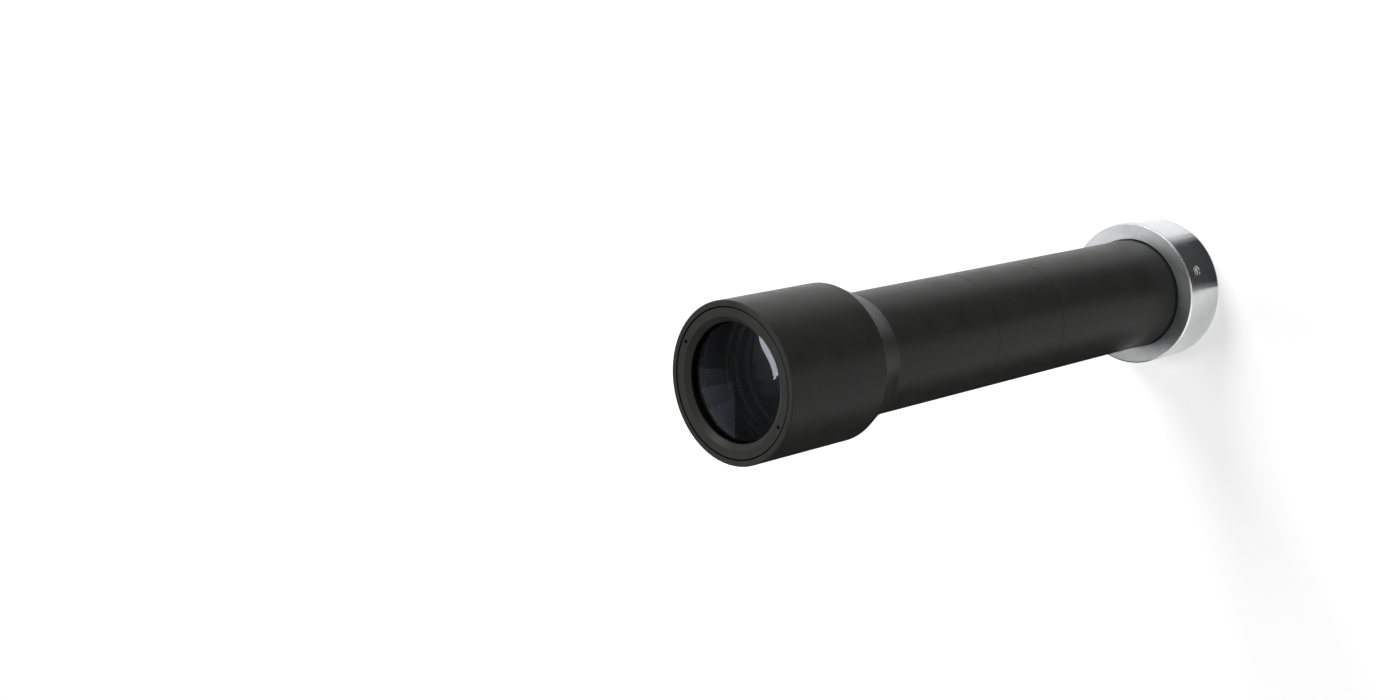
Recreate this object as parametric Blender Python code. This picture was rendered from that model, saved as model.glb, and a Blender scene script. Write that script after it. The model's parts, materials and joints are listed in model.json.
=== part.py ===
"""Telecentric lens for a machine vision camera, standing on its camera mount.

The optical axis is +Z. The camera end's flat face is at z = 0 and the front glass looks up.
Every size is in metres. Each size below can be changed by itself. Walls, lands and steps are
given instead of inner diameters, so that what fits inside follows the outer sizes.
"""

import math

import bmesh
import bpy
from mathutils import Matrix

# Outer sizes
HEAD_DIAMETER = 0.060
HEAD_LENGTH = 0.050
CONE_LENGTH = 0.015
FRONT_BARREL_LENGTH = 0.126
MIDDLE_TUBE_LENGTH = 0.043
REAR_TUBE_SHOWN = 0.084
TUBE_DIAMETER = 0.0475
TUBE_WALL = 0.00375
EDGE_CHAMFER = 0.0004

# Mount ring on the camera end
MOUNT_RING_DIAMETER = 0.0625
MOUNT_RING_LENGTH = 0.022
MOUNT_RING_CHAMFER = 0.0005
MOUNT_WEB = 0.002
CAMERA_THREAD_DIAMETER = 0.042
CAMERA_THREAD_DEPTH = 0.006

# Set screws that clamp the mount ring on the rear tube
SET_SCREW_DIAMETER = 0.004
SET_SCREW_LENGTH = 0.004
SET_SCREW_POINT = 0.0009
SET_SCREW_KEY = 0.002
SET_SCREW_KEY_DEPTH = 0.002
SET_SCREW_SETBACK = 0.0071
SET_SCREW_COUNT = 3
FIRST_SET_SCREW_ANGLE = math.radians(-74.7)
SCREW_GROOVE_MARGIN = 0.0005
SCREW_GROOVE_DEPTH = 0.00085

# Threaded joints between the tubes
JOINT_WALL = 0.00155
JOINT_SOCKET_DEPTH = 0.014
JOINT_DISC_THICKNESS = 0.0015
JOINT_LEAD_CHAMFER = 0.0005

# Front retaining ring, with its thread's rim of the head round it
HEAD_RIM = 0.0022
RETAINER_SETBACK = 0.0002
RETAINER_LIP_WIDTH = 0.0054
RETAINER_BORE_CHAMFER = 0.002
RETAINER_CHAMFER_DEPTH = 0.0018
SPANNER_HOLE_DIAMETER = 0.0012
SPANNER_HOLE_DEPTH = 0.002
SPANNER_HOLE_INSET = 0.0017
SPANNER_HOLE_ANGLE = math.radians(54.0)
SPANNER_HOLE_COUNT = 2

# Front glass. A radius of curvature is positive where its centre lies towards the camera.
GLASS_LAND = 0.0007
GLASS_EDGE_COVER = 0.0016
FRONT_GLASS_SETBACK = 0.001
FRONT_CROWN_THICKNESS = 0.0136
FRONT_CROWN_CURVE = 0.100
FRONT_CEMENT_CURVE = -0.095
FRONT_FLINT_THICKNESS = 0.0045
FRONT_FLINT_CURVE = -0.420
FRONT_SPACER_LENGTH = 0.003
FRONT_MENISCUS_THICKNESS = 0.005
FRONT_MENISCUS_CURVE = 0.270
FRONT_MENISCUS_REAR_CURVE = 1.000
FRONT_SEAT_WIDTH = 0.0021
HEAD_FLOOR = 0.002

# Light baffles and the aperture stop
HEAD_BAFFLE_THICKNESS = 0.002
HEAD_BAFFLE_WIDTH = 0.0052
JOINT_BAFFLE_OPENING = 0.024
STOP_OPENING = 0.012
BAFFLE_EDGE = 0.0004

# Rear lens cell, slid into the rear tube against its shoulder
CELL_WALL = 0.0024
CELL_LEDGE = 0.0012
CELL_LEDGE_LENGTH = 0.003
CELL_RIM = 0.0036
CELL_SHOULDER_WIDTH = 0.0018
CELL_SHOULDER_LENGTH = 0.0117
LOCK_RING_LENGTH = 0.004
LOCK_RING_WIDTH = 0.0032
REAR_CROWN_THICKNESS = 0.007
REAR_CROWN_CURVE = 0.120
REAR_CEMENT_CURVE = -0.060
REAR_FLINT_THICKNESS = 0.0025
REAR_FLINT_CURVE = -0.200
REAR_SPACER_LENGTH = 0.005
REAR_FIELD_THICKNESS = 0.0055
REAR_FIELD_CURVE = 0.090
REAR_RETAINER_LENGTH = 0.003
SPANNER_SLOT_WIDTH = 0.0012
SPANNER_SLOT_DEPTH = 0.001

# Clearances
FIT_GAP = 0.0003
SEAT_GAP = 0.0003
THREAD_RELIEF = 0.0006

# Facets round the axis, and steps from the axis to the edge of a polished surface
OUTER_SIDES = 64
INNER_SIDES = 40
SCREW_SIDES = 24
HOLE_SIDES = 16
FRONT_GLASS_STEPS = 5
INNER_GLASS_STEPS = 3
SHARP_ANGLE = math.radians(28.0)


def sag(curve, radius):
    """How far a polished surface falls back from its vertex at this radius, towards the camera."""
    if math.isinf(curve):
        return 0.0
    return curve - math.copysign(math.sqrt(curve**2 - radius**2), curve)


# Radii of the tubes and of what fits in them
TUBE_RADIUS = TUBE_DIAMETER / 2
BORE_RADIUS = TUBE_RADIUS - TUBE_WALL
SOCKET_RADIUS = TUBE_RADIUS - JOINT_WALL
SPIGOT_RADIUS = SOCKET_RADIUS - FIT_GAP
GROOVE_RADIUS = TUBE_RADIUS - SCREW_GROOVE_DEPTH
THROAT_RADIUS = BORE_RADIUS - CELL_SHOULDER_WIDTH

# Radii in the head, from the outside in
HEAD_RADIUS = HEAD_DIAMETER / 2
HEAD_THREAD_RADIUS = HEAD_RADIUS - HEAD_RIM
RETAINER_RADIUS = HEAD_THREAD_RADIUS - FIT_GAP
RETAINER_BORE_RADIUS = RETAINER_RADIUS - RETAINER_LIP_WIDTH
GLASS_BORE_RADIUS = HEAD_THREAD_RADIUS - GLASS_LAND
FRONT_GLASS_RADIUS = GLASS_BORE_RADIUS - FIT_GAP
FRONT_HOLD_RADIUS = FRONT_GLASS_RADIUS - GLASS_EDGE_COVER
FRONT_SEAT_RADIUS = GLASS_BORE_RADIUS - FRONT_SEAT_WIDTH

# Radii in the rear cell, from the outside in
CELL_RADIUS = BORE_RADIUS - FIT_GAP
CELL_BORE_RADIUS = CELL_RADIUS - CELL_WALL
REAR_GLASS_RADIUS = CELL_BORE_RADIUS - FIT_GAP
REAR_HOLD_RADIUS = REAR_GLASS_RADIUS - CELL_LEDGE

# Heights of the outside, from the camera end up
RING_FRONT_Z = MOUNT_RING_LENGTH
REAR_JOINT_Z = RING_FRONT_Z + REAR_TUBE_SHOWN
FRONT_JOINT_Z = REAR_JOINT_Z + MIDDLE_TUBE_LENGTH
FRONT_Z = FRONT_JOINT_Z + FRONT_BARREL_LENGTH
SCREW_Z = RING_FRONT_Z - SET_SCREW_SETBACK
SOCKET_FLOOR_Z = CAMERA_THREAD_DEPTH + MOUNT_WEB
REAR_TUBE_END_Z = SOCKET_FLOOR_Z + SEAT_GAP

# Heights in the head, from the front glass down
FRONT_CROWN_Z = FRONT_Z - FRONT_GLASS_SETBACK
RETAINER_REAR_Z = FRONT_CROWN_Z - sag(FRONT_CROWN_CURVE, FRONT_HOLD_RADIUS) + SEAT_GAP
RETAINER_LIP_Z = FRONT_CROWN_Z - sag(FRONT_CROWN_CURVE, RETAINER_BORE_RADIUS) + SEAT_GAP
FRONT_FLINT_Z = FRONT_CROWN_Z - FRONT_CROWN_THICKNESS - SEAT_GAP
FRONT_FLINT_HOLD_Z = (
    FRONT_FLINT_Z - FRONT_FLINT_THICKNESS - sag(FRONT_FLINT_CURVE, FRONT_HOLD_RADIUS)
)
FRONT_SPACER_Z = FRONT_FLINT_HOLD_Z - SEAT_GAP
FRONT_MENISCUS_HOLD_Z = FRONT_SPACER_Z - FRONT_SPACER_LENGTH - SEAT_GAP
FRONT_MENISCUS_Z = FRONT_MENISCUS_HOLD_Z + sag(FRONT_MENISCUS_CURVE, FRONT_HOLD_RADIUS)
FRONT_MENISCUS_REAR_Z = FRONT_MENISCUS_Z - FRONT_MENISCUS_THICKNESS
FRONT_SEAT_Z = (
    FRONT_MENISCUS_REAR_Z - sag(FRONT_MENISCUS_REAR_CURVE, FRONT_GLASS_RADIUS) - SEAT_GAP
)
HEAD_FLOOR_Z = FRONT_Z - HEAD_LENGTH + HEAD_FLOOR

# Heights in the rear cell, from the rear tube's shoulder up
CELL_SHOULDER_Z = REAR_TUBE_END_Z + CELL_SHOULDER_LENGTH
CELL_REAR_Z = CELL_SHOULDER_Z + SEAT_GAP
REAR_RETAINER_Z = CELL_REAR_Z + CELL_RIM + REAR_RETAINER_LENGTH
REAR_FIELD_Z = REAR_RETAINER_Z + SEAT_GAP + REAR_FIELD_THICKNESS
REAR_FIELD_HOLD_Z = REAR_FIELD_Z - sag(REAR_FIELD_CURVE, REAR_HOLD_RADIUS)
REAR_SPACER_Z = REAR_FIELD_HOLD_Z + SEAT_GAP + REAR_SPACER_LENGTH
REAR_FLINT_REAR_Z = REAR_SPACER_Z + SEAT_GAP + sag(REAR_FLINT_CURVE, REAR_HOLD_RADIUS)
REAR_FLINT_Z = REAR_FLINT_REAR_Z + REAR_FLINT_THICKNESS
REAR_CROWN_Z = REAR_FLINT_Z + SEAT_GAP + REAR_CROWN_THICKNESS
CELL_LEDGE_Z = REAR_CROWN_Z - sag(REAR_CROWN_CURVE, REAR_HOLD_RADIUS) + SEAT_GAP
CELL_FRONT_Z = CELL_LEDGE_Z + CELL_LEDGE_LENGTH
LOCK_RING_Z = CELL_FRONT_Z + SEAT_GAP + LOCK_RING_LENGTH


def clear_scene():
    """Removes whatever the file opened with."""
    for obj in list(bpy.data.objects):
        bpy.data.objects.remove(obj)


def finish(name, color, roughness, metallic):
    """A Principled material of one colour."""
    material = bpy.data.materials.new(name)
    material.use_nodes = True
    shader = material.node_tree.nodes["Principled BSDF"]
    shader.inputs["Base Color"].default_value = (*color, 1.0)
    shader.inputs["Roughness"].default_value = roughness
    shader.inputs["Metallic"].default_value = metallic
    return material


def add_object(name, bm, material):
    """Puts a bmesh in the scene as one smooth-shaded object."""
    bmesh.ops.recalc_face_normals(bm, faces=bm.faces)
    mesh = bpy.data.meshes.new(name)
    bm.to_mesh(mesh)
    bm.free()
    mesh.materials.append(material)
    mesh.shade_smooth()
    mesh.set_sharp_from_angle(angle=SHARP_ANGLE)
    obj = bpy.data.objects.new(name, mesh)
    bpy.context.scene.collection.objects.link(obj)
    return obj


def turned(name, profile, material, sides, closed=True):
    """Turns a profile of (radius, height) points about the axis.

    A closed profile makes a ring. An open one starts and ends on the axis and makes a solid.
    """
    bm = bmesh.new()
    verts = [bm.verts.new((radius, 0, z)) for radius, z in profile]
    edges = [bm.edges.new(pair) for pair in zip(verts, verts[1:])]
    if closed:
        edges.append(bm.edges.new((verts[-1], verts[0])))
    bmesh.ops.spin(
        bm, geom=verts + edges, cent=(0, 0, 0), axis=(0, 0, 1),
        angle=math.tau, steps=sides, use_merge=True,
    )
    bmesh.ops.remove_doubles(bm, verts=bm.verts, dist=1e-6)
    return add_object(name, bm, material)


def plain_ring(name, radius, bore_radius, top_z, length, material):
    profile = [
        (bore_radius, top_z),
        (radius, top_z),
        (radius, top_z - length),
        (bore_radius, top_z - length),
    ]
    return turned(name, profile, material, INNER_SIDES)


def polished(vertex_z, curve, radius, steps):
    """Profile points of a polished surface, from the axis out to its edge."""
    radii = [radius * step / steps for step in range(steps + 1)]
    return [(r, vertex_z - sag(curve, r)) for r in radii]


def lens_element(name, radius, vertex_z, thickness, curves, material, sides, steps):
    """A lens element with its front vertex at vertex_z and (front, rear) radii of curvature."""
    front = polished(vertex_z, curves[0], radius, steps)
    rear = polished(vertex_z - thickness, curves[1], radius, steps)
    return turned(name, front + rear[::-1], material, sides, closed=False)


def hidden_cutter(name, bm):
    mesh = bpy.data.meshes.new(name)
    bm.to_mesh(mesh)
    bm.free()
    cutter = bpy.data.objects.new(name, mesh)
    cutter.hide_render = True
    cutter.display_type = "WIRE"
    bpy.context.scene.collection.objects.link(cutter)
    return cutter


def cylinder_cutter(name, radius, depth, matrix):
    """A guide cylinder along its own Z, for a Boolean cut."""
    bm = bmesh.new()
    bmesh.ops.create_cone(
        bm, cap_ends=True, segments=HOLE_SIDES, radius1=radius, radius2=radius, depth=depth,
        matrix=matrix,
    )
    return hidden_cutter(name, bm)


def box_cutter(name, size, matrix):
    """A guide box, for a Boolean cut."""
    bm = bmesh.new()
    bmesh.ops.create_cube(bm, size=1.0, matrix=matrix @ Matrix.Diagonal((*size, 1.0)))
    return hidden_cutter(name, bm)


def cut(obj, cutter):
    modifier = obj.modifiers.new(cutter.name, "BOOLEAN")
    modifier.operation = "DIFFERENCE"
    modifier.solver = "EXACT"
    modifier.object = cutter


def around(count, first_angle):
    """Angles of evenly spaced features round the axis."""
    return [first_angle + math.tau * index / count for index in range(count)]


# Threaded joint: the upper tube's socket faces down, and the lower tube's spigot enters it.
# A disc, a baffle or the stop, is clamped between the socket's floor and the spigot's end.


def socket_profile(joint_z):
    """The socket at a tube's lower end, from its outer edge in to the bore."""
    floor_z = joint_z + JOINT_SOCKET_DEPTH
    return [
        (TUBE_RADIUS, joint_z + SEAT_GAP),
        (SOCKET_RADIUS, joint_z + SEAT_GAP),
        (SOCKET_RADIUS, floor_z),
        (BORE_RADIUS, floor_z),
    ]


def spigot_profile(joint_z):
    """The spigot on a tube's upper end, from the bore out to its shoulder."""
    end_z = joint_z + JOINT_SOCKET_DEPTH - 2 * SEAT_GAP - JOINT_DISC_THICKNESS
    return [
        (BORE_RADIUS, end_z),
        (SPIGOT_RADIUS - JOINT_LEAD_CHAMFER, end_z),
        (SPIGOT_RADIUS, end_z - JOINT_LEAD_CHAMFER),
        (SPIGOT_RADIUS, joint_z),
        (TUBE_RADIUS, joint_z),
    ]


def edged_disc(name, radius, opening_radius, top_z, thickness, material):
    """A disc whose opening is a fine edge on the front side, bevelled away behind."""
    bevel = thickness - BAFFLE_EDGE
    profile = [
        (opening_radius, top_z),
        (radius, top_z),
        (radius, top_z - thickness),
        (opening_radius + bevel, top_z - thickness),
        (opening_radius, top_z - BAFFLE_EDGE),
    ]
    return turned(name, profile, material, INNER_SIDES)


def joint_disc(name, joint_z, opening, material):
    """A thin disc clamped in a joint."""
    top_z = joint_z + JOINT_SOCKET_DEPTH - SEAT_GAP
    edged_disc(name, SPIGOT_RADIUS, opening / 2, top_z, JOINT_DISC_THICKNESS, material)


def build_front_barrel(material):
    """Head, cone and front tube, turned as one piece."""
    head_rear_z = FRONT_Z - HEAD_LENGTH
    thread_end_z = RETAINER_REAR_Z - THREAD_RELIEF
    outside = [
        (HEAD_THREAD_RADIUS, FRONT_Z),
        (HEAD_RADIUS - EDGE_CHAMFER, FRONT_Z),
        (HEAD_RADIUS, FRONT_Z - EDGE_CHAMFER),
        (HEAD_RADIUS, head_rear_z),
        (TUBE_RADIUS, head_rear_z - CONE_LENGTH),
    ]
    inside = [
        (BORE_RADIUS, HEAD_FLOOR_Z),
        (FRONT_SEAT_RADIUS, HEAD_FLOOR_Z),
        (FRONT_SEAT_RADIUS, FRONT_SEAT_Z),
        (GLASS_BORE_RADIUS, FRONT_SEAT_Z),
        (GLASS_BORE_RADIUS, thread_end_z),
        (HEAD_THREAD_RADIUS, thread_end_z),
    ]
    profile = outside + socket_profile(FRONT_JOINT_Z) + inside
    turned("front_barrel", profile, material, OUTER_SIDES)


def build_front_retaining_ring(material):
    """The threaded ring over the front glass, with a chamfered lip and two spanner holes.

    Its underside slopes with the glass, so that the lip lies close over the bulge.
    """
    top_z = FRONT_Z - RETAINER_SETBACK
    profile = [
        (RETAINER_BORE_RADIUS + RETAINER_BORE_CHAMFER, top_z),
        (RETAINER_RADIUS, top_z),
        (RETAINER_RADIUS, RETAINER_REAR_Z),
        (FRONT_HOLD_RADIUS, RETAINER_REAR_Z),
        (RETAINER_BORE_RADIUS, RETAINER_LIP_Z),
        (RETAINER_BORE_RADIUS, top_z - RETAINER_CHAMFER_DEPTH),
    ]
    ring = turned("front_retaining_ring", profile, material, OUTER_SIDES)
    reach = RETAINER_RADIUS - SPANNER_HOLE_INSET
    for angle in around(SPANNER_HOLE_COUNT, SPANNER_HOLE_ANGLE):
        place = Matrix.Rotation(angle, 4, "Z") @ Matrix.Translation((reach, 0, top_z))
        name = f"spanner_hole_cutter_{math.degrees(angle):.0f}"
        cut(ring, cylinder_cutter(name, SPANNER_HOLE_DIAMETER / 2, 2 * SPANNER_HOLE_DEPTH, place))


def build_front_glass(crown_glass, flint_glass, black):
    """The front group, stacked in the head from the front: crown, flint, spacer and meniscus."""
    lens_element(
        "front_crown_element", FRONT_GLASS_RADIUS, FRONT_CROWN_Z, FRONT_CROWN_THICKNESS,
        (FRONT_CROWN_CURVE, FRONT_CEMENT_CURVE), crown_glass, OUTER_SIDES, FRONT_GLASS_STEPS,
    )
    lens_element(
        "front_flint_element", FRONT_GLASS_RADIUS, FRONT_FLINT_Z, FRONT_FLINT_THICKNESS,
        (FRONT_CEMENT_CURVE, FRONT_FLINT_CURVE), flint_glass, INNER_SIDES, INNER_GLASS_STEPS,
    )
    plain_ring(
        "front_spacer_ring", FRONT_GLASS_RADIUS, FRONT_HOLD_RADIUS, FRONT_SPACER_Z,
        FRONT_SPACER_LENGTH, black,
    )
    lens_element(
        "front_meniscus_element", FRONT_GLASS_RADIUS, FRONT_MENISCUS_Z, FRONT_MENISCUS_THICKNESS,
        (FRONT_MENISCUS_CURVE, FRONT_MENISCUS_REAR_CURVE), crown_glass, INNER_SIDES,
        INNER_GLASS_STEPS,
    )


def build_baffles_and_stop(material):
    radius = FRONT_SEAT_RADIUS - FIT_GAP
    edged_disc(
        "head_baffle", radius, radius - HEAD_BAFFLE_WIDTH,
        HEAD_FLOOR_Z + SEAT_GAP + HEAD_BAFFLE_THICKNESS, HEAD_BAFFLE_THICKNESS, material,
    )
    joint_disc("joint_baffle", FRONT_JOINT_Z, JOINT_BAFFLE_OPENING, material)
    joint_disc("aperture_stop", REAR_JOINT_Z, STOP_OPENING, material)


def build_middle_tube(material):
    profile = spigot_profile(FRONT_JOINT_Z) + socket_profile(REAR_JOINT_Z)
    turned("middle_tube", profile, material, OUTER_SIDES)


def build_rear_tube(material):
    """The tube that holds the rear lens cell and carries the mount ring."""
    groove_half = SET_SCREW_DIAMETER / 2 + SCREW_GROOVE_MARGIN
    lower = [
        (TUBE_RADIUS, SCREW_Z + groove_half),
        (GROOVE_RADIUS, SCREW_Z + groove_half),
        (GROOVE_RADIUS, SCREW_Z - groove_half),
        (TUBE_RADIUS, SCREW_Z - groove_half),
        (TUBE_RADIUS, REAR_TUBE_END_Z + EDGE_CHAMFER),
        (TUBE_RADIUS - EDGE_CHAMFER, REAR_TUBE_END_Z),
        (THROAT_RADIUS, REAR_TUBE_END_Z),
        (THROAT_RADIUS, CELL_SHOULDER_Z),
        (BORE_RADIUS, CELL_SHOULDER_Z),
    ]
    turned("rear_tube", spigot_profile(REAR_JOINT_Z) + lower, material, OUTER_SIDES)


def build_rear_cell(material):
    """The barrel of the rear group, with a ledge at its upper end that the crown rests against."""
    profile = [
        (REAR_HOLD_RADIUS, CELL_FRONT_Z),
        (CELL_RADIUS, CELL_FRONT_Z),
        (CELL_RADIUS, CELL_REAR_Z),
        (CELL_BORE_RADIUS, CELL_REAR_Z),
        (CELL_BORE_RADIUS, CELL_LEDGE_Z),
        (REAR_HOLD_RADIUS, CELL_LEDGE_Z),
    ]
    turned("rear_cell", profile, material, INNER_SIDES)


def build_rear_glass(crown_glass, flint_glass, black):
    """The rear group, stacked in the cell under its ledge: crown, flint, spacer and field lens."""
    lens_element(
        "rear_crown_element", REAR_GLASS_RADIUS, REAR_CROWN_Z, REAR_CROWN_THICKNESS,
        (REAR_CROWN_CURVE, REAR_CEMENT_CURVE), crown_glass, INNER_SIDES, INNER_GLASS_STEPS,
    )
    lens_element(
        "rear_flint_element", REAR_GLASS_RADIUS, REAR_FLINT_Z, REAR_FLINT_THICKNESS,
        (REAR_CEMENT_CURVE, REAR_FLINT_CURVE), flint_glass, INNER_SIDES, INNER_GLASS_STEPS,
    )
    plain_ring(
        "rear_spacer_ring", REAR_GLASS_RADIUS, REAR_HOLD_RADIUS, REAR_SPACER_Z,
        REAR_SPACER_LENGTH, black,
    )
    lens_element(
        "rear_field_element", REAR_GLASS_RADIUS, REAR_FIELD_Z, REAR_FIELD_THICKNESS,
        (REAR_FIELD_CURVE, math.inf), crown_glass, INNER_SIDES, INNER_GLASS_STEPS,
    )


def slotted_ring(name, radius, bore_radius, top_z, length, slots_z, material):
    """A threaded ring with a spanner slot across each side of one face."""
    ring = plain_ring(name, radius, bore_radius, top_z, length, material)
    size = (2 * (radius - bore_radius), SPANNER_SLOT_WIDTH, 2 * SPANNER_SLOT_DEPTH)
    middle = (radius + bore_radius) / 2
    for angle in around(2, 0.0):
        place = Matrix.Rotation(angle, 4, "Z") @ Matrix.Translation((middle, 0, slots_z))
        cut(ring, box_cutter(f"{name}_slot_cutter_{math.degrees(angle):.0f}", size, place))


def build_rear_rings(material):
    slotted_ring(
        "rear_element_ring", REAR_GLASS_RADIUS, REAR_HOLD_RADIUS, REAR_RETAINER_Z,
        REAR_RETAINER_LENGTH, REAR_RETAINER_Z - REAR_RETAINER_LENGTH, material,
    )
    slotted_ring(
        "cell_lock_ring", CELL_RADIUS, CELL_RADIUS - LOCK_RING_WIDTH, LOCK_RING_Z,
        LOCK_RING_LENGTH, LOCK_RING_Z, material,
    )


def screw_place(angle, radius):
    """A frame at this radius round the axis, at the set screws' height, with Z pointing outwards."""
    return (
        Matrix.Rotation(angle, 4, "Z")
        @ Matrix.Translation((radius, 0, SCREW_Z))
        @ Matrix.Rotation(math.pi / 2, 4, "Y")
    )


def build_mount_ring(material):
    """The bare ring on the camera end, with a socket for the tube and a thread for the camera."""
    radius = MOUNT_RING_DIAMETER / 2
    socket_radius = TUBE_RADIUS + FIT_GAP
    thread_radius = CAMERA_THREAD_DIAMETER / 2
    profile = [
        (socket_radius, RING_FRONT_Z),
        (radius - MOUNT_RING_CHAMFER, RING_FRONT_Z),
        (radius, RING_FRONT_Z - MOUNT_RING_CHAMFER),
        (radius, MOUNT_RING_CHAMFER),
        (radius - MOUNT_RING_CHAMFER, 0.0),
        (thread_radius, 0.0),
        (thread_radius, CAMERA_THREAD_DEPTH),
        (THROAT_RADIUS, CAMERA_THREAD_DEPTH),
        (THROAT_RADIUS, SOCKET_FLOOR_Z),
        (socket_radius, SOCKET_FLOOR_Z),
    ]
    ring = turned("mount_ring", profile, material, OUTER_SIDES)
    hole_radius = SET_SCREW_DIAMETER / 2 + FIT_GAP / 2
    depth = 2 * (radius - BORE_RADIUS)
    for angle in around(SET_SCREW_COUNT, FIRST_SET_SCREW_ANGLE):
        name = f"screw_hole_cutter_{math.degrees(angle):.0f}"
        cut(ring, cylinder_cutter(name, hole_radius, depth, screw_place(angle, radius)))


def circle_of_points(bm, radius, z):
    """A loop of points round Z."""
    angles = [math.tau * index / SCREW_SIDES for index in range(SCREW_SIDES)]
    return [bm.verts.new((radius * math.cos(a), radius * math.sin(a), z)) for a in angles]


def hexagon_of_points(bm, inner_radius, z):
    """A hexagon with as many points as the circle, so that the two can be joined by faces."""
    loop = circle_of_points(bm, inner_radius, z)
    sector = math.tau / 6
    for index, vert in enumerate(loop):
        angle = math.tau * index / SCREW_SIDES
        reach = 1 / math.cos(angle % sector - sector / 2)
        vert.co.x *= reach
        vert.co.y *= reach
    return loop


def set_screw_mesh():
    """A grub screw from its cone point at 0 up its own Z, with a hexagon socket in its top."""
    radius = SET_SCREW_DIAMETER / 2 - FIT_GAP / 2
    bm = bmesh.new()
    loops = [
        circle_of_points(bm, radius - SET_SCREW_POINT, 0.0),
        circle_of_points(bm, radius, SET_SCREW_POINT),
        circle_of_points(bm, radius, SET_SCREW_LENGTH),
        hexagon_of_points(bm, SET_SCREW_KEY / 2, SET_SCREW_LENGTH),
        hexagon_of_points(bm, SET_SCREW_KEY / 2, SET_SCREW_LENGTH - SET_SCREW_KEY_DEPTH),
    ]
    for lower, upper in zip(loops, loops[1:]):
        for step in range(SCREW_SIDES):
            following = (step + 1) % SCREW_SIDES
            bm.faces.new((lower[step], lower[following], upper[following], upper[step]))
    bm.faces.new(loops[0])
    bm.faces.new(loops[-1])
    return bm


def build_set_screws(material):
    """Grub screws sunk in the mount ring, their points just clear of the rear tube's groove."""
    point_radius = GROOVE_RADIUS + SEAT_GAP
    for index, angle in enumerate(around(SET_SCREW_COUNT, FIRST_SET_SCREW_ANGLE), start=1):
        screw = add_object(f"mount_set_screw_{index}", set_screw_mesh(), material)
        screw.matrix_world = screw_place(angle, point_radius)


def main():
    clear_scene()
    black = finish("black_anodised_aluminium", (0.022, 0.022, 0.022), 0.5, 0.0)
    bare = finish("bare_aluminium", (0.78, 0.78, 0.77), 0.28, 1.0)
    steel = finish("screw_steel", (0.55, 0.55, 0.54), 0.3, 1.0)
    crown_glass = finish("crown_glass", (0.80, 0.86, 0.90), 0.02, 0.0)
    flint_glass = finish("flint_glass", (0.88, 0.88, 0.82), 0.02, 0.0)
    build_front_barrel(black)
    build_front_retaining_ring(black)
    build_front_glass(crown_glass, flint_glass, black)
    build_baffles_and_stop(black)
    build_middle_tube(black)
    build_rear_tube(black)
    build_rear_cell(black)
    build_rear_glass(crown_glass, flint_glass, black)
    build_rear_rings(black)
    build_mount_ring(bare)
    build_set_screws(steel)


main()
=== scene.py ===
# %% [markdown]
# Telecentric lens
#
# A machine vision lens for measuring: a wide head with a big front glass, a long black tube made
# of three lengths screwed together, and a bare aluminium ring that carries the camera. It stands
# on the ring's flat face, with its optical axis along Z and the front glass up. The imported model
# of its 22 pieces is loaded first and is the measure for everything after it. Pieces that show
# are modelled again here with finer curves, eased edges and threads, and the hidden ones keep
# their solids and get a finish.

# %% Load the frame
import json
import math

import bmesh
import bpy
from mathutils import Matrix, Vector


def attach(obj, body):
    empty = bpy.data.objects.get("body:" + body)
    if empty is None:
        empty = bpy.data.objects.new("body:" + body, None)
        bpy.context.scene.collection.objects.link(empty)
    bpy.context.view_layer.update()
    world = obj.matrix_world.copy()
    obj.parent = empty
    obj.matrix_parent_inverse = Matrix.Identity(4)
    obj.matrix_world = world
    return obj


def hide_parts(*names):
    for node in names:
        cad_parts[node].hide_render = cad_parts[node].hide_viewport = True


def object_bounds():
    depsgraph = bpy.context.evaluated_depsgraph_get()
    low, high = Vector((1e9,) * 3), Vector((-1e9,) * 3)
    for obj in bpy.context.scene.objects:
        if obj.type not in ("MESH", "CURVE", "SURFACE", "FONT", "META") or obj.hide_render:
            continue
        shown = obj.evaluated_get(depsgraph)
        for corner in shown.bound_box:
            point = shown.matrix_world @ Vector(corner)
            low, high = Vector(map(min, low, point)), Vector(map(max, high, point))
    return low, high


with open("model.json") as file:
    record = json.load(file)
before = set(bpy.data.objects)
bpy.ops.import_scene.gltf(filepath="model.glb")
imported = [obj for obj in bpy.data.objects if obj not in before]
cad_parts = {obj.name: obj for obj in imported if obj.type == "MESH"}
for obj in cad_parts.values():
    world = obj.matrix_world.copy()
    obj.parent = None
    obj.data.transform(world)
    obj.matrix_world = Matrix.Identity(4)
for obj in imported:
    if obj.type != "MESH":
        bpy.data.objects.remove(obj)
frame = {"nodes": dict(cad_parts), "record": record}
cad_box = [list(corner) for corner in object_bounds()]
nodes = frame["nodes"]
MM = 0.001
print("Loaded", len(nodes), "pieces, from", cad_box[0], "to", cad_box[1])

# %% [markdown]
# How turned pieces are made
#
# Nearly every piece of a lens comes off a lathe. A lathe can be copied in several ways: circles
# that are extruded and scaled ring by ring, or a drawn half-section that is spun round the axis.
# The spin is chosen, because the half-section reads like the workshop drawing of the piece, with
# a radius and a height in millimetres for every corner. A plane is merged to one point, the point
# is extruded from corner to corner, and Spin turns the line into the solid.
#
# No machined corner is perfectly sharp. A third number at a corner is how far its edge is eased,
# in millimetres, and Bevel rounds that circle, so that it catches a thin line of light.

# %% Turning helpers
TURNED_SIDES = 192
SAME_PLACE = 2e-6


def deselect_all():
    if bpy.context.object and bpy.context.object.mode != "OBJECT":
        bpy.ops.object.mode_set(mode="OBJECT")
    bpy.ops.object.select_all(action="DESELECT")


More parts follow.
